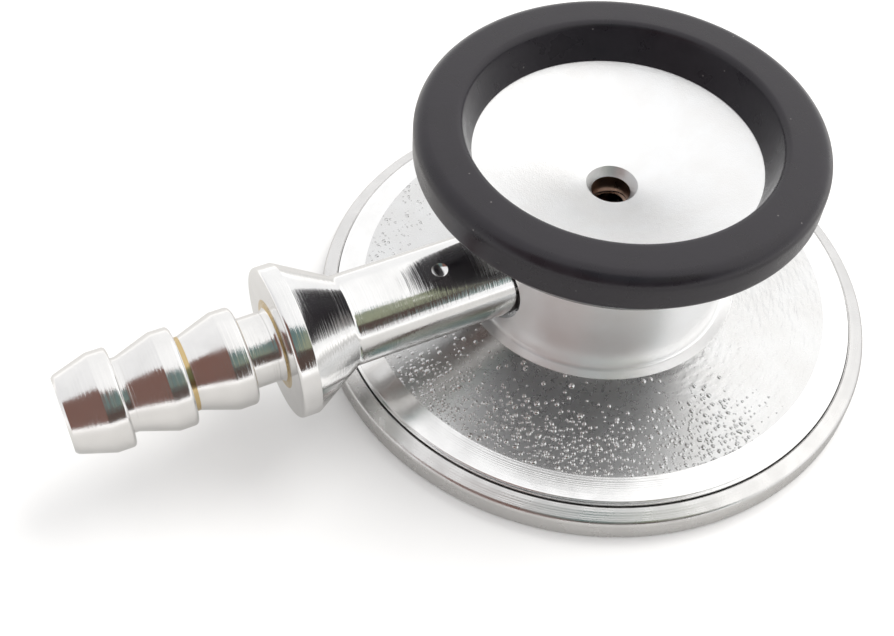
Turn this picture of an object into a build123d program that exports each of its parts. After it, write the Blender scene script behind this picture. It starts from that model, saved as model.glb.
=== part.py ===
"""Dual-head stethoscope chestpiece: a turned head with a diaphragm side and a bell side,
and a barbed stem that turns in the head's neck.

Millimetres. +Z points up through the bell. The origin is on the head's axis in the plane
that the diaphragm ring rests on, and the stem leaves the neck along -X.
"""

import os
from math import isclose

from build123d import *

# ---- driving dimensions --------------------------------------------------------------------

ring_radius = 22.5  # outside of the diaphragm ring, the widest part of the head
ring_shoulder_height = 1.9  # corner between the ring's outside and its sloping top
ring_lip_radius = 20.2  # opening in the ring's bottom lip
ring_lip_height = 0.45  # thickness of the lip that holds the diaphragm
ring_top_height = 2.35  # inner edge of the ring's sloping top
ring_chamfer = 0.12  # bright edge at the mouth of the ring's thread

disc_radius = 21.15  # threaded edge of the head's disc
disc_edge_height = 2.52  # outer edge of the disc's bright bevel
crease_radius = 20.9  # small step down from the bevel to the disc's edge
crease_drop = 0.1
bevel_radius = 19.0  # inner edge of the bright bevel, where the cone starts
bevel_height = 2.85
cone_top_radius = 11.3  # where the cone meets the turned step round the neck
cone_top_height = 4.5
cone_middle_height = 3.475  # half way in, so that the cone is slightly hollow

neck_radius = 10.2
neck_step_height = 4.35  # floor of the turned step round the neck

flange_radius = 13.5  # bell flange that carries the rubber rim
flange_bottom = 16.2
flange_top = 17.2
dish_radius = 10.86  # outer edge of the open dish
dish_bottom = 14.2  # dish height at the edge of the centre hole's countersink

rim_radius = 15.25
rim_inner = 11.75  # corner between the rim's crest and its inner slope
rim_top = 20.3
rim_skirt_height = 17.5  # lower end of the rim's cylindrical outside

stem_height = 8.7  # stem axis above the rest plane
stem_radius = 3.5
stem_reach = 43.1  # head axis to the barb's tip
stem_inner_end = 4.9  # how far the stem runs past the head's axis
stem_airway = 1.6  # radius of the axial airway
collar_radius = 5.75
collar_face = 27.6  # head axis to the collar's outer face
collar_width = 1.42
flare_end = 22.3  # head axis to the foot of the flare

barb_count = 3
barb_pitch = 4.48
barb_radius = 3.67
barb_cone = 2.66  # length of each barb's cone
barb_land = 1.42  # length of each barb's cylindrical land
barb_groove_radius = 2.76
barb_tip_radius = 2.89
barb_neck_radius = 2.64

bore_clearance = 0.05  # stem to neck bore, on the radius
thread_clearance = 0.07  # disc edge to ring, on the radius
seat_gap = 0.02  # diaphragm to disc land

diaphragm_thickness = 0.3
diaphragm_radius = 21.0
disc_land_height = ring_lip_height + diaphragm_thickness + seat_gap  # seat on the disc

head_hole_radius = 1.5  # centre hole in the dish
countersink_radius = 1.98
countersink_angle = 70
port_radius = 1.2  # radial sound port in the stem

clip_wire = 0.4  # wire radius of the stem's snap ring
clip_place = 6.9  # distance of the snap ring from the head axis
clip_opening = 40  # degrees of the snap ring's gap
seal_place = 4.6
seal_section = 0.33  # section radius of the stem's sealing ring
seal_seat = 2.85  # bottom of the sealing ring's groove
groove_width = 0.9
groove_play = 0.05  # clearance of either ring in its groove

ball_radius = 0.8
ball_place = 3.3  # distance of the detent past the head axis
ball_height = 3.12  # ball centre above the stem's axis, measured outward
ball_race_radius = 3.95
ball_race_width = 1.3
pocket_depth = 0.13  # detent pocket past the ball's rest
ball_play = 0.03  # clearance of the ball in its pocket in the stem, on the radius
pocket_end = 1.2  # blind end of the ball's pocket, past the stem's axis
spring_wire = 0.125  # wire radius
spring_radius = 0.6  # mean coil radius
spring_coils = 7

index_place = 14.9  # index dimple on the stem
index_ball = 1.1  # radius of the cutter's ball nose
index_lift = 0.9  # how far the ball nose's centre stays above the stem
index_angle = 16  # degrees round the stem from the top, towards -Y

bore_radius = stem_radius + bore_clearance
clip_groove_radius = stem_radius + clip_wire + groove_play
vertical = Plane.XZ
stem_axis = Axis((0, 0, stem_height), (-1, 0, 0))
stem_plane = Plane(origin=(0, 0, stem_height), x_dir=(-1, 0, 0), z_dir=(0, 1, 0))
index_plane = stem_plane.rotated((index_angle, 0, 0))


def circles_at(part, radius, along, place):
    """Circular edges of one radius whose centre stands at a place along an axis direction."""
    def chosen(edge):
        height = edge.arc_center.dot(along)
        return isclose(edge.radius, radius, abs_tol=1e-3) and isclose(height, place, abs_tol=1e-3)

    return part.edges().filter_by(GeomType.CIRCLE).filter_by(chosen)


# ---- head body: disc, neck and bell in one turning -----------------------------------------

chamber_radius = 19.4  # sound chamber over the diaphragm
chamber_edge = 1.25
chamber_centre = 2.7
foot_radius = 0.3  # fillet from the neck to its step
flare_radius = 0.4  # fillet from the neck to the flange's underside
step_bevel = 0.12  # width of the bright bevel between the cone and the neck's step
mouth_radius = 3.85  # counterbore at the mouth of the stem bore
mouth_place = 9.0  # where the counterbore starts, from the head's axis
bore_floor = 0.2  # free space past the stem's inner end

with BuildPart() as head_body:
    with BuildSketch(vertical):
        with BuildLine():
            Polyline(
                (0, dish_bottom),
                (0, chamber_centre),
                (chamber_radius, chamber_edge),
                (chamber_radius, disc_land_height),
                (disc_radius, disc_land_height),
                (disc_radius, disc_edge_height - crease_drop),
                (crease_radius, disc_edge_height - crease_drop),
                (crease_radius, disc_edge_height),
                (bevel_radius, bevel_height),
            )
            ThreePointArc(
                (bevel_radius, bevel_height),
                ((bevel_radius + cone_top_radius) / 2, cone_middle_height),
                (cone_top_radius, cone_top_height),
            )
            FilletPolyline(
                (cone_top_radius, cone_top_height),
                (cone_top_radius - step_bevel, neck_step_height),
                (neck_radius, neck_step_height),
                (neck_radius, flange_bottom),
                (flange_radius, flange_bottom),
                (flange_radius, flange_top),
                (dish_radius, flange_top),
                (countersink_radius, dish_bottom),
                (0, dish_bottom),
                radius=(0, foot_radius, flare_radius, 0, 0, 0, 0),
            )
        make_face()
    revolve(axis=Axis.Z)
    # centre hole from the dish to the stem bore, and on to the sound chamber
    with Locations((0, 0, dish_bottom)):
        CounterSinkHole(
            head_hole_radius,
            countersink_radius,
            depth=dish_bottom,
            counter_sink_angle=countersink_angle,
        )
    # blind stem bore, open on the -X side of the neck
    with BuildSketch(stem_plane):
        with Locations((-stem_inner_end - bore_floor, 0)):
            Rectangle(2 * neck_radius, bore_radius, align=(Align.MIN, Align.MIN))
        with Locations((mouth_place, 0)):
            Rectangle(neck_radius, mouth_radius, align=(Align.MIN, Align.MIN))
        with Locations((clip_place, 0)):
            Rectangle(groove_width, clip_groove_radius, align=(Align.CENTER, Align.MIN))
        with Locations((-ball_place, 0)):
            Rectangle(ball_race_width, ball_race_radius, align=(Align.CENTER, Align.MIN))
    revolve(axis=stem_axis, mode=Mode.SUBTRACT)
    # two detent pockets in the ball's race, for the bell and the diaphragm setting
    pocket_height = ball_height + pocket_depth
    with Locations(
        (ball_place, 0, stem_height - pocket_height),
        (ball_place, 0, stem_height + pocket_height),
    ):
        Sphere(ball_radius, mode=Mode.SUBTRACT)
head_body.part.label = "head_body"

# ---- bell rim: rubber ring with a channel that snaps over the flange -----------------------

rim_lip_radius = 10.75  # opening of the channel's lower lip
rim_lip_bottom = 15.3
crest_inner_rounding = 0.6
crest_outer_rounding = 1.1
skirt_rounding = 0.5
lip_rounding = 0.2

with BuildPart() as bell_rim:
    with BuildSketch(vertical):
        with BuildLine():
            FilletPolyline(
                (dish_radius, flange_top),
                (rim_inner, rim_top),
                (rim_radius, rim_top),
                (rim_radius, rim_skirt_height),
                (flange_radius, rim_lip_bottom),
                (rim_lip_radius, rim_lip_bottom),
                (rim_lip_radius, flange_bottom),
                (flange_radius, flange_bottom),
                (flange_radius, flange_top),
                radius=(
                    0,
                    crest_inner_rounding,
                    crest_outer_rounding,
                    skirt_rounding,
                    skirt_rounding,
                    lip_rounding,
                    0,
                    0,
                    0,
                ),
                close=True,
            )
        make_face()
    revolve(axis=Axis.Z)
bell_rim.part.label = "bell_rim"

# ---- diaphragm: thin stiff disc ------------------------------------------------------------

diaphragm_chamfer = 0.1

with BuildPart() as diaphragm:
    with BuildSketch(Plane.XY.offset(ring_lip_height)):
        Circle(diaphragm_radius)
    extrude(amount=diaphragm_thickness)
    chamfer(diaphragm.edges().group_by(Axis.Z)[-1], diaphragm_chamfer)
diaphragm.part.label = "diaphragm"

# ---- diaphragm ring: screws up over the disc's edge ----------------------------------------

ring_inner = disc_radius + thread_clearance
ring_foot_rounding = 0.3
ring_shoulder_rounding = 0.4
lip_chamfer = 0.2  # inner edge of the lip, towards the diaphragm

with BuildPart() as diaphragm_ring:
    with BuildSketch(vertical):
        with BuildLine():
            FilletPolyline(
                (ring_lip_radius, 0),
                (ring_radius, 0),
                (ring_radius, ring_shoulder_height),
                (ring_inner + ring_chamfer, ring_top_height),
                (ring_inner, ring_top_height - ring_chamfer),
                (ring_inner, ring_lip_height),
                (ring_lip_radius + lip_chamfer, ring_lip_height),
                (ring_lip_radius, ring_lip_height - lip_chamfer),
                radius=(0, ring_foot_rounding, ring_shoulder_rounding, 0, 0, 0, 0, 0),
                close=True,
            )
        make_face()
    revolve(axis=Axis.Z)
diaphragm_ring.part.label = "diaphragm_ring"

# ---- stem: tube, flared collar and three barbs in one turning ------------------------------

tip_chamfer = 0.2
end_chamfer = 0.3
barb_rounding = 0.3
collar_rounding = 0.3
collar_fillet = 0.45
airway_rounding = 0.25
barb_profile = []
for barb in range(barb_count):
    cone_end = stem_reach - barb * barb_pitch - barb_cone
    land_end = cone_end - barb_land
    root_radius = barb_neck_radius if barb == barb_count - 1 else barb_groove_radius
    barb_profile += [(cone_end, barb_radius), (land_end, barb_radius), (land_end, root_radius)]
    if barb < barb_count - 1:
        barb_profile += [(stem_reach - (barb + 1) * barb_pitch, barb_groove_radius)]

with BuildPart() as stem:
    with BuildSketch(stem_plane):
        with BuildLine():
            Polyline(
                (stem_reach, 0),
                (stem_reach, barb_tip_radius - tip_chamfer),
                (stem_reach - tip_chamfer, barb_tip_radius),
                *barb_profile,
                (collar_face, barb_neck_radius),
                (collar_face, collar_radius),
                (collar_face - collar_width, collar_radius),
                (flare_end, stem_radius),
                (-stem_inner_end + end_chamfer, stem_radius),
                (-stem_inner_end, stem_radius - end_chamfer),
                (-stem_inner_end, 0),
                close=True,
            )
        make_face()
    revolve(axis=stem_axis)
    # rounded back edge of each barb
    for barb in range(barb_count):
        back = stem_reach - barb * barb_pitch - barb_cone - barb_land
        fillet(circles_at(stem, barb_radius, Vector(-1, 0, 0), back), barb_rounding)
    # collar: softened face edge and filleted neck
    fillet(circles_at(stem, collar_radius, Vector(-1, 0, 0), collar_face), collar_rounding)
    fillet(circles_at(stem, barb_neck_radius, Vector(-1, 0, 0), collar_face), collar_fillet)
    # airway from the tip, closed before the inner end
    with BuildSketch(Plane.YZ.offset(-stem_reach)):
        with Locations((0, stem_height)):
            Circle(stem_airway)
    extrude(amount=stem_reach + stem_airway, mode=Mode.SUBTRACT)
    fillet(circles_at(stem, stem_airway, Vector(-1, 0, 0), stem_reach), airway_rounding)
    # sound port in the top of the stem, on the head's axis
    with BuildSketch(Plane.XY.offset(stem_height)):
        Circle(port_radius)
    extrude(amount=2 * stem_radius, mode=Mode.SUBTRACT)
    # grooves for the sealing ring and the snap ring
    with BuildSketch(stem_plane):
        with Locations((seal_place, seal_seat), (clip_place, stem_radius - clip_wire - groove_play)):
            Rectangle(groove_width, stem_radius, align=(Align.CENTER, Align.MIN))
    revolve(axis=stem_axis, mode=Mode.SUBTRACT)
    # blind pocket for the detent ball and its spring, opposite the port
    with BuildSketch(Plane.XY.offset(stem_height + pocket_end)):
        with Locations((ball_place, 0)):
            Circle(ball_radius + ball_play)
    extrude(amount=-2 * stem_radius, mode=Mode.SUBTRACT)
    # index dimple that tells which side is open
    with Locations(index_plane.location * Pos(index_place, stem_radius + index_lift, 0)):
        Sphere(index_ball, mode=Mode.SUBTRACT)
stem.part.label = "stem"

# ---- sealing ring and snap ring on the stem ------------------------------------------------

with BuildPart() as stem_seal:
    with BuildSketch(stem_plane):
        with Locations((seal_place, seal_seat + seat_gap + seal_section)):
            Circle(seal_section)
    revolve(axis=stem_axis)
stem_seal.part.label = "stem_seal"

with BuildPart() as stem_clip:
    with BuildSketch(stem_plane.rotated((90 + clip_opening / 2, 0, 0))):
        with Locations((clip_place, stem_radius)):
            Circle(clip_wire)
    revolve(axis=stem_axis, revolution_arc=360 - clip_opening)
stem_clip.part.label = "stem_clip"

# ---- detent ball and spring ----------------------------------------------------------------

with BuildPart() as detent_ball:
    with Locations((ball_place, 0, stem_height - ball_height)):
        Sphere(ball_radius)
detent_ball.part.label = "detent_ball"

spring_foot = stem_height + pocket_end - spring_wire - seat_gap
spring_head = stem_height - ball_height + ball_radius + spring_wire + seat_gap
spring_length = spring_foot - spring_head

with BuildPart() as detent_spring:
    with BuildLine(Plane(origin=(ball_place, 0, spring_head))):
        coil = Helix(spring_length / spring_coils, spring_length, spring_radius)
    with BuildSketch(Plane(origin=coil @ 0, z_dir=coil % 0)):
        Circle(spring_wire)
    sweep(path=coil, is_frenet=True)
detent_spring.part.label = "detent_spring"

# ---- files ---------------------------------------------------------------------------------

os.makedirs("parts", exist_ok=True)
nodes = [
    head_body,
    bell_rim,
    diaphragm,
    diaphragm_ring,
    stem,
    stem_seal,
    stem_clip,
    detent_ball,
    detent_spring,
]
for node in nodes:
    export_step(node.part, f"parts/{node.part.label}.step")
    print(node.part.label, round(node.part.volume, 2))
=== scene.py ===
"""Looks of a dual-head stethoscope chestpiece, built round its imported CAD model.

Dimensions below are in millimetres, in the CAD model's frame. They become metres when a mesh
is made.
"""
from math import acos, cos, hypot, pi, radians, sin, tan

import bmesh
import bpy
from mathutils import Matrix, Quaternion, Vector


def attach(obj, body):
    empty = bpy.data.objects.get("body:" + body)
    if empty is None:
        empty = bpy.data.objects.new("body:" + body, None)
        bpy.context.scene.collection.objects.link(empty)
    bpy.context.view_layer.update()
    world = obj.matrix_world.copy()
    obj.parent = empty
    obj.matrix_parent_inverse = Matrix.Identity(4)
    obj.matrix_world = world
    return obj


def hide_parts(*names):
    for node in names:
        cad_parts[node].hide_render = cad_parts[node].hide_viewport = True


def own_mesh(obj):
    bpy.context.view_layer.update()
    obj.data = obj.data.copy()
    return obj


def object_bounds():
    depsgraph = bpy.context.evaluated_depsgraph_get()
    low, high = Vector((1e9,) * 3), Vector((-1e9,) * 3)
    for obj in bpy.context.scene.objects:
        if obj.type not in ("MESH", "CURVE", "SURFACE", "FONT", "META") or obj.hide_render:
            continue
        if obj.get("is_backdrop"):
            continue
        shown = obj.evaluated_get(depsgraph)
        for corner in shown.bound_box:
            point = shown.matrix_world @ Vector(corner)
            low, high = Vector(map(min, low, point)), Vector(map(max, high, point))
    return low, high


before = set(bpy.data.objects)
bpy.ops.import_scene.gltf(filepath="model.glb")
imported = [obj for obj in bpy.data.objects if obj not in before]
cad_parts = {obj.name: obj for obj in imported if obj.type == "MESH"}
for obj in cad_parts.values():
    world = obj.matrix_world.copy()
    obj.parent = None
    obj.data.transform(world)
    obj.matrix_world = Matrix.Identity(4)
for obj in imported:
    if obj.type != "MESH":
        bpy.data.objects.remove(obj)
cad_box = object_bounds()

MM = 0.001

# ---- driving dimensions ---------------------------------------------------------------------

# roundings of machined edges that have no size of their own
fine_break = 0.03
small_break = 0.04
edge_break = 0.05
soft_break = 0.08
blind_rounding = 0.1

ring_radius = 22.5
ring_inner = 21.22
ring_chamfer = 0.12
ring_lip_radius = 20.2
ring_lip_height = 0.45
ring_shoulder_height = 1.9
ring_top_height = 2.35
ring_foot_rounding = 0.3
ring_shoulder_rounding = 0.4
lip_chamfer = 0.2

disc_radius = 21.15
disc_land_height = 0.77
disc_edge_height = 2.52
crease_radius = 20.9
crease_drop = 0.1
bevel_radius = 19.0
bevel_height = 2.85
cone_top_radius = 11.3
cone_top_height = 4.5
cone_hollow = 0.2  # how far the cone's outline sinks below a straight line
step_bevel = 0.12
step_height = 4.35
neck_radius = 10.2
foot_radius = 0.3
flare_radius = 0.4
flange_radius = 13.5
flange_bottom = 16.2
flange_top = 17.2
dish_radius = 10.86
dish_bottom = 14.2
hole_radius = 1.5  # centre hole in the dish
countersink_radius = 1.98
countersink_depth = 0.685
chamber_radius = 19.4  # sound chamber over the diaphragm
chamber_edge = 1.25
chamber_centre = 2.7

rim_radius = 15.25
rim_inner = 11.75
rim_top = 20.3
rim_skirt_height = 17.5
rim_lip_radius = 10.75
rim_lip_bottom = 15.3
crest_inner_rounding = 0.6
crest_outer_rounding = 1.1
skirt_rounding = 0.5
lip_rounding = 0.2

stem_height = 8.7  # stem axis; places along it are measured from the head's axis
stem_radius = 3.5
stem_reach = 43.1
stem_inner_end = 4.9
airway = 1.6  # radius of the axial airway, and how far it runs past the head's axis
airway_rounding = 0.25
port_radius = 1.2
collar_radius = 5.75
collar_face = 27.6
collar_width = 1.42
collar_rounding = 0.3
collar_back_rounding = 0.12
collar_fillet = 0.45
flare_end = 22.3
flare_blend = 0.6
end_rounding = 0.3
barb_count = 3
barb_pitch = 4.48
barb_radius = 3.67
barb_cone = 2.66
barb_land = 1.42
barb_groove_radius = 2.76
barb_tip_radius = 2.89
barb_neck_radius = 2.64
barb_crest_rounding = 0.06
barb_back_rounding = 0.3
tip_chamfer = 0.2
worn_width = 0.75  # worn plating on the collar's face, round the barb's neck
bore_radius = 3.55
bore_floor = 0.2  # free space past the stem's inner end
mouth_radius = 3.85
mouth_place = 9.0
seal_place = 4.6
seal_seat = 2.85
clip_place = 6.9
clip_seat = 3.05
clip_groove_radius = 3.95
groove_width = 0.9
ball_place = 3.3
ball_race_radius = 3.95
ball_race_width = 1.3
pocket_radius = 0.83
pocket_end = 1.2
ball_radius = 0.8
ball_height = 3.12
spring_wire = 0.125
spring_radius = 0.6
spring_coils = 7
contact_gap = 0.02  # spring to ball, and spring to the pocket's blind end
index_place = 14.9  # index dimple, cut by a ball nose
index_ball = 1.1
index_lift = 0.9  # the ball nose's centre above the stem's surface
index_angle = 16  # degrees from the top, towards -Y

diaphragm_radius = 21.0
diaphragm_thickness = 0.3

# ---- camera ---------------------------------------------------------------------------------

view_azimuth = radians(-28.48)
view_elevation = radians(50.31)
view_roll = radians(3.57)
view_distance = 93.34
view_target = Vector((-14.8, -2.34, 8.0))
view_lens = 49.975
view_sensor = 36.0

toward_camera = Vector((
    sin(view_azimuth) * cos(view_elevation),
    -cos(view_azimuth) * cos(view_elevation),
    sin(view_elevation),
))
camera_data = bpy.data.cameras.new("camera")
camera_data.lens = view_lens
camera_data.sensor_width = view_sensor
camera_data.clip_start = 0.001
camera_data.clip_end = 20.0
camera = bpy.data.objects.new("camera", camera_data)
camera.location = (view_target + toward_camera * view_distance) * MM
camera.rotation_mode = "QUATERNION"
camera.rotation_quaternion = toward_camera.to_track_quat("Z", "Y") @ Quaternion((0, 0, 1), view_roll)
bpy.context.collection.objects.link(camera)
bpy.context.scene.camera = camera


# ---- mesh helpers ---------------------------------------------------------------------------

def rounded(corners, closed, arc_step=radians(8)):
    """Points of a polyline with rounded corners, as (radius, height, zone).

    A corner is (radius, height, rounding, zone). The zone, a number in the piece's list of
    materials, is that of the run that starts there.
    """
    points = []
    count = len(corners)
    for i, (x, y, rounding, zone) in enumerate(corners):
        here = Vector((x, y))
        is_end = not closed and i in (0, count - 1)
        before_zone = corners[i - 1][3]
        if is_end or rounding <= 0:
            points.append((x, y, zone))
            continue
        before = Vector(corners[i - 1][:2]) - here
        after = Vector(corners[(i + 1) % count][:2]) - here
        before.normalize()
        after.normalize()
        half = acos(max(-1.0, min(1.0, before.dot(after)))) / 2
        reach = rounding / tan(half)
        centre = here + (before + after).normalized() * (rounding / sin(half))
        start = here + before * reach - centre
        end = here + after * reach - centre
        sweep = pi - 2 * half
        steps = max(2, round(sweep / arc_step))
        for k in range(steps + 1):
            t = k / steps
            spoke = (start * sin((1 - t) * sweep) + end * sin(t * sweep)) / sin(sweep)
            side = before_zone if t < 0.5 else zone
            points.append((centre.x + spoke.x, centre.y + spoke.y, side))
    return points


def divided(points, closed, longest):
    """The same polyline with its long straight runs cut into shorter ones."""
    result = []
    count = len(points)
    for i in range(count if closed else count - 1):
        x0, y0, zone = points[i]
        x1, y1, _ = points[(i + 1) % count]
        steps = max(1, round(hypot(x1 - x0, y1 - y0) / longest))
        for k in range(steps):
            t = k / steps
            result.append((x0 + (x1 - x0) * t, y0 + (y1 - y0) * t, zone))
    if not closed:
        result.append(points[-1])
    return result


def upright(radius, height, angle):
    """A point round the head's axis."""
    return Vector((radius * cos(angle), radius * sin(angle), height)) * MM


def along_stem(radius, place, angle):
    """A point round the stem's axis, at a place measured from the head's axis along -X."""
    return Vector((-place, radius * sin(angle), stem_height + radius * cos(angle))) * MM


def linked(name, mesh):
    """A new object with this mesh, in the scene."""
    piece = bpy.data.objects.new(name, mesh)
    bpy.context.collection.objects.link(piece)
    return piece


def lathe(name, points, closed, segments, point_at, materials=()):
    """A closed turned mesh. An open profile starts and ends on the axis."""
    vertices, faces, zones, rings = [], [], [], []
    for radius, height, _ in points:
        if radius < 1e-6:
            rings.append([len(vertices)] * segments)
            vertices.append(point_at(0, height, 0))
        else:
            rings.append(list(range(len(vertices), len(vertices) + segments)))
            vertices += [point_at(radius, height, 2 * pi * k / segments) for k in range(segments)]
    for i in range(len(points) if closed else len(points) - 1):
        low, high = rings[i], rings[(i + 1) % len(points)]
        for k in range(segments):
            j = (k + 1) % segments
            loop = [low[k], low[j], high[j], high[k]]
            faces.append([v for n, v in enumerate(loop) if v not in loop[:n]])
            zones.append(points[i][2])
    mesh = bpy.data.meshes.new(name)
    mesh.from_pydata(vertices, [], faces)
    for material in materials:
        mesh.materials.append(material)
    mesh.polygons.foreach_set("material_index", zones)
    face_outwards(mesh)
    return linked(name, mesh)


def face_outwards(mesh):
    work = bmesh.new()
    work.from_mesh(mesh)
    bmesh.ops.recalc_face_normals(work, faces=work.faces)
    work.to_mesh(mesh)
    work.free()


def smooth(piece, angle=radians(28)):
    mesh = piece.data
    mesh.polygons.foreach_set("use_smooth", [True] * len(mesh.polygons))
    mesh.set_sharp_from_angle(angle=angle)


def cut(piece, cutters):
    """Subtracts closed cutters from a piece and removes them."""
    for cutter in cutters:
        tool = piece.modifiers.new("cut", "BOOLEAN")
        tool.operation = "DIFFERENCE"
        tool.solver = "EXACT"
        tool.object = cutter
    graph = bpy.context.evaluated_depsgraph_get()
    mesh = bpy.data.meshes.new_from_object(piece.evaluated_get(graph))
    piece.modifiers.clear()
    piece.data = mesh
    mesh.name = piece.name
    for cutter in cutters:
        bpy.data.objects.remove(cutter)


def plain(profile):
    """A profile with square corners, all in zone 0."""
    return [(x, y, 0) for x, y in profile]


def drill(name, radius, bottom, top, place=0.0):
    """An upright cylinder to cut with, at a place along X."""
    profile = [(0, bottom), (radius, bottom), (radius, top), (0, top)]
    tool = lathe(name, plain(profile), False, segments=64, point_at=upright)
    tool.data.transform(Matrix.Translation(Vector((place, 0, 0)) * MM))
    return tool


def ball_nose(name, radius, centre):
    """A ball to cut with."""
    steps = 24
    profile = [
        (radius * sin(pi * k / steps), -radius * cos(pi * k / steps)) for k in range(steps + 1)
    ]
    tool = lathe(name, plain(profile), False, segments=64, point_at=upright)
    tool.data.transform(Matrix.Translation(centre * MM))
    return tool


def coil_spring(name, axis_x, bottom, length, radius, wire, coils):
    """An upright wire helix with capped ends; bottom and length are those of its centre line."""
    coil_steps = 28
    wire_sides = 12
    steps = coils * coil_steps
    rise = length / (2 * pi * coils)
    vertices = []
    for step in range(steps + 1):
        turn = 2 * pi * step / coil_steps
        outward = Vector((cos(turn), sin(turn), 0))
        centre = Vector((axis_x, 0, bottom + length * step / steps)) + outward * radius
        tangent = Vector((-radius * sin(turn), radius * cos(turn), rise)).normalized()
        across = tangent.cross(outward)
        for k in range(wire_sides):
            side = 2 * pi * k / wire_sides
            vertices.append((centre + (outward * cos(side) + across * sin(side)) * wire) * MM)
    first = range(wire_sides)
    faces = [list(first), [steps * wire_sides + k for k in first]]
    for row in range(steps):
        low, high = row * wire_sides, (row + 1) * wire_sides
        for k in first:
            j = (k + 1) % wire_sides
            faces.append([low + k, low + j, high + j, high + k])
    mesh = bpy.data.meshes.new(name)
    mesh.from_pydata(vertices, [], faces)
    face_outwards(mesh)
    return linked(name, mesh)


def grid(name, steps, point_at):
    """A flat mesh of steps by steps faces; point_at takes shares from 0 to 1 across and up."""
    vertices = [
        point_at(column / steps, row / steps)
        for row in range(steps + 1)
        for column in range(steps + 1)
    ]
    faces = []
    for row in range(steps):
        for column in range(steps):
            corner = row * (steps + 1) + column
            faces.append((corner, corner + 1, corner + steps + 2, corner + steps + 1))
    mesh = bpy.data.meshes.new(name)
    mesh.from_pydata(vertices, [], faces)
    return linked(name, mesh)


# ---- material helpers -----------------------------------------------------------------------

class Nodes:
    """Short way to add and link the nodes of one tree."""

    def __init__(self, tree):
        self.tree = tree

    def add(self, kind, inputs=None, **settings):
        node = self.tree.nodes.new("ShaderNode" + kind)
        for key, value in settings.items():
            setattr(node, key, value)
        for key, value in (inputs or {}).items():
            self.put(node.inputs[key], value)
        return node

    def put(self, socket, value):
        if isinstance(value, bpy.types.NodeSocket):
            self.tree.links.new(value, socket)
        elif isinstance(value, bpy.types.Node):
            self.tree.links.new(value.outputs[0], socket)
        else:
            socket.default_value = value

    def math(self, operation, a, b=0.0, c=0.0, clamp=False):
        node = self.add("Math", {0: a, 1: b, 2: c}, operation=operation, use_clamp=clamp)
        return node.outputs[0]

    def split(self, vector):
        return self.add("SeparateXYZ", {0: vector}).outputs

    def radius(self, x, y):
        """Distance from the head's axis."""
        square = self.math("ADD", self.math("MULTIPLY", x, x), self.math("MULTIPLY", y, y))
        return self.math("SQRT", square)

    def noise(self, vector, scale, detail=2.0, rough=0.5):
        node = self.add(
            "TexNoise",
            {"Vector": vector, "Scale": scale, "Detail": detail, "Roughness": rough},
            noise_dimensions="3D",
        )
        return node.outputs["Fac"]

    def lines(self, value, scale, detail=3.0):
        """Noise that varies along one number only, for tool lines."""
        node = self.add(
            "TexNoise",
            {"W": value, "Scale": scale, "Detail": detail, "Roughness": 0.6},
            noise_dimensions="1D",
        )
        return node.outputs["Fac"]

    def ramp(self, value, low, high, to_low=0.0, to_high=1.0):
        """A smooth step from to_low to to_high as the value goes from low to high."""
        node = self.add(
            "MapRange",
            {"Value": value, "From Min": low, "From Max": high, "To Min": to_low, "To Max": to_high},
            interpolation_type="SMOOTHSTEP",
        )
        return node.outputs["Result"]

    def mix(self, factor, first, second):
        node = self.add("Mix", {"Factor": factor}, data_type="RGBA")
        self.put(node.inputs[6], first)
        self.put(node.inputs[7], second)
        return node.outputs[2]

    def bump(self, height, strength, distance, under=None):
        """A normal bent by a height, on top of the normal under it; distance in millimetres."""
        node = self.add(
            "Bump", {"Height": height, "Strength": strength, "Distance": distance * MM}
        )
        if under is not None:
            self.put(node.inputs["Normal"], under)
        return node.outputs["Normal"]


class MaterialNodes(Nodes):
    """The nodes of a new material, round its Principled shader."""

    def __init__(self, name):
        self.material = bpy.data.materials.new(name)
        self.material.use_nodes = True
        super().__init__(self.material.node_tree)
        self.shader = self.tree.nodes["Principled BSDF"]

    def place(self):
        """Object coordinates in millimetres."""
        coordinates = self.add("TexCoord").outputs["Object"]
        return self.add("VectorMath", {0: coordinates, 3: 1 / MM}, operation="SCALE").outputs[0]

    def finish(self, **inputs):
        for key, value in inputs.items():
            self.put(self.shader.inputs[key.replace("_", " ")], value)
        return self.material


def grey(value, warm=0.0):
    """A grey, a little towards red for warm above 0."""
    return (value * (1 + warm), value, value * (1 - warm), 1.0)


def blister_layer(n, place, scale, share):
    """Round bumps in a share of the cells of a grid: how near its top a point is, and its height.

    A bump never reaches past the cell's free circle, so no bump is cut off by the next cell.
    """
    nearest, room = (
        n.add("TexVoronoi", feature=feature, voronoi_dimensions="2D")
        for feature in ("F1", "N_SPHERE_RADIUS")
    )
    for cells in (nearest, room):
        n.put(cells.inputs["Vector"], place)
        n.put(cells.inputs["Scale"], scale)
        n.put(cells.inputs["Randomness"], 0.9)
    pick, width, _ = n.add("SeparateColor", {0: nearest.outputs["Color"]}).outputs
    present = n.ramp(n.math("SUBTRACT", share, pick), -0.02, 0.02)
    size = n.math("MINIMUM", n.ramp(width, 0.0, 1.0, 0.16, 0.42), room.outputs["Radius"])
    near_top = n.ramp(n.math("DIVIDE", nearest.outputs["Distance"], size), 1.0, 0.1)
    cap = n.math("MULTIPLY", near_top, present)
    return cap, n.math("MULTIPLY", cap, n.math("DIVIDE", size, scale))


def wrinkles(n, x, y, radius):
    """Wrinkles that run round the cone on its right-hand half, and are weaker behind."""
    around = n.math("MULTIPLY", n.math("ARCTAN2", y, x), 13.0)
    inward = n.math("MULTIPLY", radius, 2.4)
    polar = n.add("CombineXYZ", {0: inward, 1: around}).outputs[0]
    height = n.noise(polar, scale=1.0)
    height = n.math("MULTIPLY", height, n.ramp(x, -2.0, 9.0))
    return n.math("MULTIPLY", height, n.ramp(y, 10.0, -4.0, 0.3, 1.0))


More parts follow.
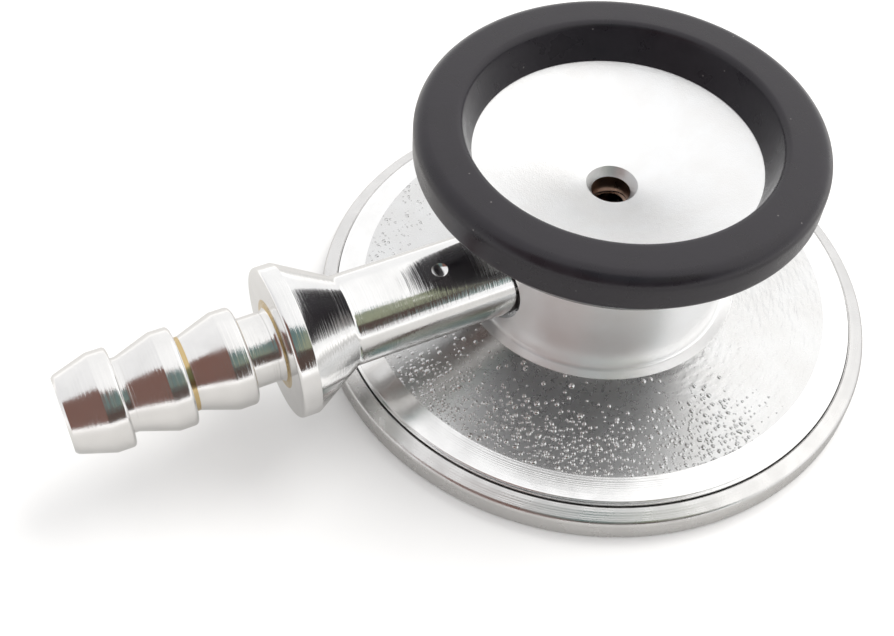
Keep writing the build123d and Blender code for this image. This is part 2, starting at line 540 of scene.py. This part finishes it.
def blasted_metal(name, rough, grain, tone, blisters=0.0, metallic=1.0):
    """Bead-blasted aluminium: fine grain, with raised blisters where they are wanted."""
    n = MaterialNodes(name)
    place = n.place()
    middle = n.noise(place, scale=2.6, rough=0.55)
    normal = n.bump(n.noise(place, scale=11.0, rough=0.6), grain, 0.05)
    normal = n.bump(middle, grain * 0.5, 0.06, normal)
    roughness = n.ramp(middle, 0.3, 0.7, rough - 0.01, rough + 0.01)
    if blisters:
        x, y, _ = n.split(place)
        radius = n.radius(x, y)
        normal = n.bump(wrinkles(n, x, y, radius), 1.0, 0.10, normal)
        # blisters: dense towards the bevel, few near the neck and behind, none on the right
        drift = n.math("SUBTRACT", n.noise(place, scale=0.22), 0.5)
        drift = n.math("MULTIPLY", drift, 0.9)
        drift = n.math("SUBTRACT", drift, n.ramp(x, 0.0, 9.0, 0.0, 1.1))
        drift = n.math("SUBTRACT", drift, n.ramp(y, -4.0, 4.0, 0.0, 0.6))
        for scale, few, many in ((1.7, 0.12, 0.92), (2.4, -0.30, 0.90)):
            share = n.math("ADD", n.ramp(radius, 11.5, 16.8, few, many), drift)
            cap, raised = blister_layer(n, place, scale, share)
            normal = n.bump(raised, 1.0, blisters, normal)
            polish = n.math("MULTIPLY", cap, rough - 0.14)
            roughness = n.math("SUBTRACT", roughness, polish)
    patches = n.ramp(n.noise(place, scale=0.35, detail=3.0), 0.3, 0.7)
    tint = n.mix(patches, grey(tone - 0.02, 0.004), grey(tone + 0.02, -0.004))
    n.shader.inputs["Metallic"].default_value = metallic
    return n.finish(Base_Color=tint, Roughness=roughness, Normal=normal)


def turned_metal(name, rough, line_scale, line_depth, colour, along="head"):
    """Machined metal with fine tool lines round the head's or the stem's axis."""
    n = MaterialNodes(name)
    place = n.place()
    x, y, z = n.split(place)
    if along == "stem":
        ordinate = x
    else:
        ordinate = n.math("ADD", n.radius(x, y), n.math("MULTIPLY", z, 1.37))
    lines = n.lines(ordinate, line_scale)
    smudge = n.noise(place, scale=0.5, detail=3.0)
    specks = n.noise(place, scale=9.0, detail=1.0)
    normal = n.bump(lines, line_depth, 0.02)
    normal = n.bump(specks, line_depth * 0.35, 0.01, normal)
    duller = tuple(channel * 0.94 for channel in colour[:3]) + (1.0,)
    tint = n.mix(n.ramp(smudge, 0.3, 0.7), colour, duller)
    roughness = n.ramp(smudge, 0.3, 0.75, rough * 0.8, rough * 1.25)
    roughness = n.math("ADD", roughness, n.math("MULTIPLY", lines, 0.03))
    return n.finish(Base_Color=tint, Roughness=roughness, Metallic=1.0, Normal=normal)


def rubber(name, base, rough):
    """Matt moulded rubber with a faint grain, soft patches of tone and dust specks."""
    n = MaterialNodes(name)
    place = n.place()
    soft = n.noise(place, scale=0.45, detail=3.0, rough=0.55)
    cells = n.add("TexVoronoi", {"Vector": place, "Scale": 0.9, "Randomness": 1.0}, feature="F1")
    pick = n.add("SeparateColor", {0: cells.outputs["Color"]}).outputs[1]
    near = n.ramp(cells.outputs["Distance"], 0.075, 0.045)
    speck = n.math("MULTIPLY", near, n.ramp(pick, 0.72, 0.74))
    darker = tuple(channel * 0.82 for channel in base[:3]) + (1.0,)
    tint = n.mix(n.ramp(soft, 0.3, 0.7), darker, base)
    tint = n.mix(n.math("MULTIPLY", speck, 0.35), tint, dust_tint)
    normal = n.bump(n.noise(place, scale=6.0, detail=3.0, rough=0.6), 0.25, 0.02)
    normal = n.bump(soft, 0.12, 0.15, normal)
    n.shader.inputs["Specular IOR Level"].default_value = 0.40
    n.shader.inputs["Sheen Weight"].default_value = 0.12
    n.shader.inputs["Sheen Roughness"].default_value = 0.35
    roughness = n.ramp(soft, 0.3, 0.7, rough - 0.05, rough + 0.06)
    return n.finish(Base_Color=tint, Roughness=roughness, Normal=normal)


def woven_plastic(name, thread):
    """Stiff grey plastic sheet with a faint fibre weave."""
    n = MaterialNodes(name)
    place = n.place()
    x, y, _ = n.split(place)
    warp = n.math("SINE", n.math("MULTIPLY", x, 2 * pi / thread))
    weft = n.math("SINE", n.math("MULTIPLY", y, 2 * pi / thread))
    cloud = n.noise(place, scale=0.3, detail=3.0)
    tint = n.mix(n.ramp(cloud, 0.3, 0.7), (0.33, 0.34, 0.35, 1.0), (0.38, 0.38, 0.39, 1.0))
    normal = n.bump(n.math("MULTIPLY", warp, weft), 0.15, 0.02)
    roughness = n.ramp(cloud, 0.3, 0.7, 0.3, 0.42)
    return n.finish(Base_Color=tint, Roughness=roughness, Normal=normal)


def drawn_steel(name):
    """Drawn spring steel."""
    n = MaterialNodes(name)
    place = n.place()
    cloud = n.noise(place, scale=1.2, detail=3.0)
    tint = n.mix(n.ramp(cloud, 0.3, 0.7), grey(0.50, 0.01), grey(0.62, 0.01))
    normal = n.bump(n.noise(place, scale=12.0), 0.2, 0.01)
    roughness = n.ramp(cloud, 0.3, 0.7, 0.22, 0.34)
    return n.finish(Base_Color=tint, Roughness=roughness, Metallic=1.0, Normal=normal)


# ---- materials ------------------------------------------------------------------------------

silver = grey(0.94, 0.004)
ring_grey = grey(0.74, 0.01)
stem_silver = grey(0.85, 0.004)
barb_silver = grey(0.84, 0.01)
worn_brass = (0.62, 0.47, 0.24, 1.0)
# bare brass darkened by painted shade inside the stem's airway, and painted shade on the aluminium
# head's hole and chamber walls
bare_brass_and_bore_shade = (0.30, 0.20, 0.15, 1.0)
rim_black = (0.0145, 0.0120, 0.0165, 1.0)
seal_black = (0.02, 0.02, 0.02, 1.0)
dust_tint = (0.30, 0.28, 0.27, 1.0)

cone_metal = blasted_metal("cone_metal", rough=0.28, grain=0.05, tone=0.71, blisters=0.42)
dish_metal = blasted_metal("dish_metal", rough=0.38, grain=0.35, tone=0.95)
neck_metal = blasted_metal("neck_metal", rough=0.32, grain=0.12, tone=0.97, metallic=0.78)
bevel_metal = turned_metal("bevel_metal", 0.20, 9.0, 0.35, silver)
ring_metal = turned_metal("ring_metal", 0.27, 4.0, 1.3, ring_grey)
# inner walls of the holes, in a painted dark shade
shaded_bore_metal = turned_metal("shaded_bore_metal", 0.32, 5.0, 0.9, bare_brass_and_bore_shade, "stem")
plating = turned_metal("plating", 0.10, 5.0, 0.5, stem_silver, "stem")
barb_plating = turned_metal("barb_plating", 0.15, 6.0, 0.9, barb_silver, "stem")
thin_plating = turned_metal("thin_plating", 0.22, 5.0, 0.5, worn_brass, "stem")
rim_rubber = rubber("rim_rubber", rim_black, 0.30)
seal_rubber = rubber("seal_rubber", seal_black, 0.5)
membrane_plastic = woven_plastic("membrane", thread=0.6)
spring_steel = drawn_steel("spring_steel")

# ---- head body ------------------------------------------------------------------------------

CONE, BEVEL, NECK, DISH, INSIDE = range(5)
cone_steps = 12
chamber_slope = (chamber_centre - chamber_edge) / chamber_radius
cone_run = []
for k in range(1, cone_steps):
    t = k / cone_steps
    cone_run.append((
        bevel_radius + (cone_top_radius - bevel_radius) * t,
        bevel_height + (cone_top_height - bevel_height) * t - 4 * cone_hollow * t * (1 - t),
        0,
        CONE,
    ))
head_profile = [
    (hole_radius, chamber_centre - chamber_slope * hole_radius, 0, INSIDE),
    (chamber_radius, chamber_edge, blind_rounding, INSIDE),
    (chamber_radius, disc_land_height, edge_break, BEVEL),
    (disc_radius, disc_land_height, edge_break, BEVEL),
    (disc_radius, disc_edge_height - crease_drop, edge_break, BEVEL),
    (crease_radius, disc_edge_height - crease_drop, fine_break, BEVEL),
    (crease_radius, disc_edge_height, fine_break, BEVEL),
    (bevel_radius, bevel_height, soft_break, CONE),
    *cone_run,
    (cone_top_radius, cone_top_height, fine_break, BEVEL),
    (cone_top_radius - step_bevel, step_height, fine_break, NECK),
    (neck_radius, step_height, foot_radius, NECK),
    (neck_radius, flange_bottom, flare_radius, NECK),
    (flange_radius, flange_bottom, edge_break, NECK),
    (flange_radius, flange_top, edge_break, DISH),
    (dish_radius, flange_top, soft_break, DISH),
    (countersink_radius, dish_bottom, edge_break, DISH),
    (hole_radius, dish_bottom - countersink_depth, edge_break, INSIDE),
]
head = lathe(
    "head_body_turned",
    divided(rounded(head_profile, closed=True), closed=True, longest=0.6),
    closed=True,
    segments=480,
    point_at=upright,
    materials=(cone_metal, bevel_metal, neck_metal, dish_metal, shaded_bore_metal),
)
bore_profile = [
    (0, -stem_inner_end - bore_floor),
    (bore_radius, -stem_inner_end - bore_floor),
    (bore_radius, -ball_place - ball_race_width / 2),
    (ball_race_radius, -ball_place - ball_race_width / 2),
    (ball_race_radius, -ball_place + ball_race_width / 2),
    (bore_radius, -ball_place + ball_race_width / 2),
    (bore_radius, clip_place - groove_width / 2),
    (clip_groove_radius, clip_place - groove_width / 2),
    (clip_groove_radius, clip_place + groove_width / 2),
    (bore_radius, clip_place + groove_width / 2),
    (bore_radius, mouth_place),
    (mouth_radius, mouth_place),
    (mouth_radius, 2 * neck_radius),
    (0, 2 * neck_radius),
]
bore = lathe("bore", plain(bore_profile), closed=False, segments=128, point_at=along_stem)
cut(head, [bore])
smooth(head)
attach(head, "head")
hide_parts("head_body")

# ---- bell rim -------------------------------------------------------------------------------

rim_profile = [
    (dish_radius, flange_top, edge_break, 0),
    (rim_inner, rim_top, crest_inner_rounding, 0),
    (rim_radius, rim_top, crest_outer_rounding, 0),
    (rim_radius, rim_skirt_height, skirt_rounding, 0),
    (flange_radius, rim_lip_bottom, skirt_rounding, 0),
    (rim_lip_radius, rim_lip_bottom, lip_rounding, 0),
    (rim_lip_radius, flange_bottom, 0, 0),
    (flange_radius, flange_bottom, 0, 0),
    (flange_radius, flange_top, 0, 0),
]
rim = lathe(
    "bell_rim_moulded",
    divided(rounded(rim_profile, closed=True), closed=True, longest=0.5),
    closed=True,
    segments=360,
    point_at=upright,
    materials=(rim_rubber,),
)
smooth(rim)
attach(rim, "head")
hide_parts("bell_rim")

# ---- diaphragm ring -------------------------------------------------------------------------

ring_profile = [
    (ring_lip_radius, 0, edge_break, 0),
    (ring_radius, 0, ring_foot_rounding, 0),
    (ring_radius, ring_shoulder_height, ring_shoulder_rounding, 0),
    (ring_inner + ring_chamfer, ring_top_height, small_break, 0),
    (ring_inner, ring_top_height - ring_chamfer, fine_break, 0),
    (ring_inner, ring_lip_height, edge_break, 0),
    (ring_lip_radius + lip_chamfer, ring_lip_height, fine_break, 0),
    (ring_lip_radius, ring_lip_height - lip_chamfer, fine_break, 0),
]
ring = lathe(
    "diaphragm_ring_turned",
    divided(rounded(ring_profile, closed=True), closed=True, longest=0.4),
    closed=True,
    segments=480,
    point_at=upright,
    materials=(ring_metal,),
)
smooth(ring)
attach(ring, "ring")
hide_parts("diaphragm_ring")

# ---- diaphragm ------------------------------------------------------------------------------

diaphragm_top = ring_lip_height + diaphragm_thickness
membrane_profile = [
    (0, ring_lip_height, 0, 0),
    (diaphragm_radius, ring_lip_height, small_break, 0),
    (diaphragm_radius, diaphragm_top, soft_break, 0),
    (0, diaphragm_top, 0, 0),
]
membrane = lathe(
    "diaphragm_sheet",
    divided(rounded(membrane_profile, closed=False), closed=False, longest=1.5),
    closed=False,
    segments=240,
    point_at=upright,
    materials=(membrane_plastic,),
)
smooth(membrane)
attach(membrane, "membrane")
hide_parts("diaphragm")

# ---- stem -----------------------------------------------------------------------------------

TUBE, BARB, WORN, AIRWAY = range(4)
half_groove = groove_width / 2
barb_profile = []
for barb in range(barb_count):
    tip = stem_reach - barb * barb_pitch
    last = barb == barb_count - 1
    root = barb_neck_radius if last else barb_groove_radius
    barb_profile += [
        (barb_radius, tip - barb_cone, barb_crest_rounding, BARB),
        (barb_radius, tip - barb_cone - barb_land, barb_back_rounding, BARB),
        (root, tip - barb_cone - barb_land, fine_break, WORN if barb == 1 else BARB),
    ]
    if not last:
        barb_profile += [(barb_groove_radius, tip - barb_pitch, fine_break, BARB)]
stem_profile = [
    (0, -airway, 0, AIRWAY),
    (airway, -airway, blind_rounding, AIRWAY),
    (airway, stem_reach, airway_rounding, BARB),
    (barb_tip_radius - tip_chamfer, stem_reach, fine_break, BARB),
    (barb_tip_radius, stem_reach - tip_chamfer, edge_break, BARB),
    *barb_profile,
    (barb_neck_radius, collar_face, collar_fillet, WORN),
    (barb_neck_radius + worn_width, collar_face, 0, TUBE),
    (collar_radius, collar_face, collar_rounding, TUBE),
    (collar_radius, collar_face - collar_width, collar_back_rounding, TUBE),
    (stem_radius, flare_end, flare_blend, TUBE),
    (stem_radius, clip_place + half_groove, edge_break, BARB),
    (clip_seat, clip_place + half_groove, fine_break, BARB),
    (clip_seat, clip_place - half_groove, fine_break, BARB),
    (stem_radius, clip_place - half_groove, edge_break, TUBE),
    (stem_radius, seal_place + half_groove, edge_break, BARB),
    (seal_seat, seal_place + half_groove, fine_break, BARB),
    (seal_seat, seal_place - half_groove, fine_break, BARB),
    (stem_radius, seal_place - half_groove, edge_break, TUBE),
    (stem_radius, -stem_inner_end, end_rounding, TUBE),
    (0, -stem_inner_end, 0, TUBE),
]
stem = lathe(
    "stem_turned",
    divided(rounded(stem_profile, closed=False), closed=False, longest=0.7),
    closed=False,
    segments=256,
    point_at=along_stem,
    materials=(plating, barb_plating, thin_plating, shaded_bore_metal),
)
index_reach = stem_radius + index_lift
index_turn = radians(index_angle)
index_centre = Vector((
    -index_place,
    -index_reach * sin(index_turn),
    stem_height + index_reach * cos(index_turn),
))
clear_of_stem = 6.0  # a cutter that starts inside the stem ends this far from its axis
index_tool = ball_nose("index", index_ball, index_centre)
port_tool = drill("port", port_radius, stem_height, stem_height + clear_of_stem)
pocket_tool = drill(
    "pocket", pocket_radius, stem_height - clear_of_stem, stem_height + pocket_end, ball_place
)
cut(stem, [index_tool, port_tool, pocket_tool])
smooth(stem)
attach(stem, "barb")
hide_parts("stem")

# ---- detent spring --------------------------------------------------------------------------

spring_fixed_end = stem_height + pocket_end - contact_gap
spring_free_end = stem_height - ball_height + ball_radius + contact_gap
spring = coil_spring(
    "detent_spring_coil",
    axis_x=ball_place,
    bottom=spring_free_end + spring_wire,
    length=spring_fixed_end - spring_free_end - 2 * spring_wire,
    radius=spring_radius,
    wire=spring_wire,
    coils=spring_coils,
)
spring.data.materials.append(spring_steel)
smooth(spring, angle=radians(50))
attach(spring, "barb")
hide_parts("detent_spring")
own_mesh(spring)

# ---- CAD nodes that stay --------------------------------------------------------------------

for node, material in (
    ("stem_seal", seal_rubber),
    ("stem_clip", spring_steel),
    ("detent_ball", spring_steel),
):
    for material_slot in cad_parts[node].material_slots:
        material_slot.material = material

# ---- floor ----------------------------------------------------------------------------------

floor_half = 3.0  # metres
floor_drop = 0.00002  # metres, so that the ring's foot doesn't lie in the floor's face


def floor_paper():
    """White paper, which shows a painted shade in the metal's reflections near the object, darker on
    its right.
    """
    n = MaterialNodes("floor_paper")
    place = n.place()
    x, y, _ = n.split(place)
    cloud = n.noise(place, scale=0.05, detail=3.0)
    paper = n.mix(n.ramp(cloud, 0.3, 0.7), (0.87, 0.865, 0.86, 1.0), (0.90, 0.895, 0.89, 1.0))
    # painted shade of the floor near the object as the metal reflects it, darker on the right; far
    # off it fades to near white
    near = n.mix(n.ramp(x, -5.0, 18.0), (0.60, 0.59, 0.575, 1.0), (0.42, 0.417, 0.41, 1.0))
    painted_shade_in_reflections = n.mix(n.ramp(n.radius(x, y), 45.0, 140.0), near, (0.95, 0.94, 0.93, 1.0))
    in_gloss = n.add("LightPath").outputs["Is Glossy Ray"]
    return n.finish(
        Base_Color=n.mix(in_gloss, paper, painted_shade_in_reflections),
        Roughness=n.ramp(cloud, 0.3, 0.7, 0.6, 0.7),
        Normal=n.bump(n.noise(place, scale=3.0), 0.05, 0.02),
    )


floor = grid(
    "floor",
    60,
    lambda across, up: (floor_half * (2 * across - 1), floor_half * (2 * up - 1), 0.0),
)
floor.data.materials.append(floor_paper())
floor.location.z = -floor_drop
floor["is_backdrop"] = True

# ---- world ----------------------------------------------------------------------------------

white_wall = (1.10, 1.10, 1.10, 1.0)
dim_wall = (0.92, 0.92, 0.93, 1.0)
bright_wall = (1.40, 1.39, 1.37, 1.0)
backdrop = (1.0, 1.0, 1.0, 1.0)


def build_world():
    """White studio, dimmer on the left and brighter high on the right, plain white behind."""
    world = bpy.data.worlds.new("studio")
    bpy.context.scene.world = world
    world.use_nodes = True
    n = Nodes(world.node_tree)
    n.tree.nodes.clear()
    side, _, up = n.split(n.add("TexCoord").outputs["Generated"])
    colour = n.mix(n.ramp(side, -0.9, 0.2), dim_wall, white_wall)
    high_right = n.math("MULTIPLY", n.ramp(side, 0.15, 0.5), n.ramp(up, 0.38, 0.6))
    colour = n.mix(high_right, colour, bright_wall)
    seen = n.add("LightPath").outputs["Is Camera Ray"]
    background = n.add("Background", {"Color": n.mix(seen, colour, backdrop), "Strength": 1.0})
    output = n.add("OutputWorld")
    n.put(output.inputs["Surface"], background)


build_world()

# ---- cards behind the camera, which only reflections see --------------------------------------

card_behind = 1.0  # cards to the camera's lens

# each card's left, right, bottom and top in the camera's plane, from the lens, and its colour
card_panels = [
    ("card_left", (-105, -5, -105, 32), (0.20, 0.105, 0.085)),
    ("card_middle", (-5, 40, -45, 32), (0.14, 0.21, 0.205)),
    ("card_right", (40, 75, -25, 26), (0.31, 0.33, 0.23)),
    ("card_edge", (75, 105, -25, 4), (0.10, 0.085, 0.07)),
    ("card_low", (-5, 100, -105, -25), (0.09, 0.062, 0.052)),
    ("card_low_right", (100, 128, -70, -10), (0.22, 0.30, 0.29)),
]


def card(name, sides, tint):
    left, right, bottom, top = sides

    def point_at(across, up):
        place = Vector((left + (right - left) * across, bottom + (top - bottom) * up, card_behind))
        return camera.location + (camera.rotation_quaternion @ place) * MM

    material = bpy.data.materials.new(name)
    material.use_nodes = True
    inputs = material.node_tree.nodes["Principled BSDF"].inputs
    inputs["Base Color"].default_value = (0, 0, 0, 1)
    inputs["Specular IOR Level"].default_value = 0.0
    inputs["Emission Color"].default_value = tint + (1.0,)
    inputs["Emission Strength"].default_value = 1.0
    piece = grid(name, 4, point_at)
    piece.data.materials.append(material)
    piece.visible_camera = False
    piece.visible_diffuse = False
    piece.visible_shadow = False
    piece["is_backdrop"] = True


for panel in card_panels:
    card(*panel)

# ---- key light ------------------------------------------------------------------------------


def soft_box(name, place, width, energy, tint):
    """A square soft light at a place in metres, turned to the origin, unseen in reflections."""
    data = bpy.data.lights.new(name, "AREA")
    data.shape = "SQUARE"
    data.size = width
    data.energy = energy
    data.color = tint
    box = bpy.data.objects.new(name, data)
    box.location = place
    box.rotation_mode = "QUATERNION"
    box.rotation_quaternion = Vector(place).to_track_quat("Z", "Y")
    box.visible_glossy = False
    bpy.context.collection.objects.link(box)


soft_box("window", place=(0.55, 0.15, 0.75), width=0.6, energy=5.0, tint=(1.0, 0.985, 0.96))

bpy.context.scene.view_settings.view_transform = "Standard"

# ---- size and end ---------------------------------------------------------------------------

visual_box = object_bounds()
boxes = {"cad": cad_box, "visual": visual_box}
{name: [list(corner) for corner in box] for name, box in boxes.items()}
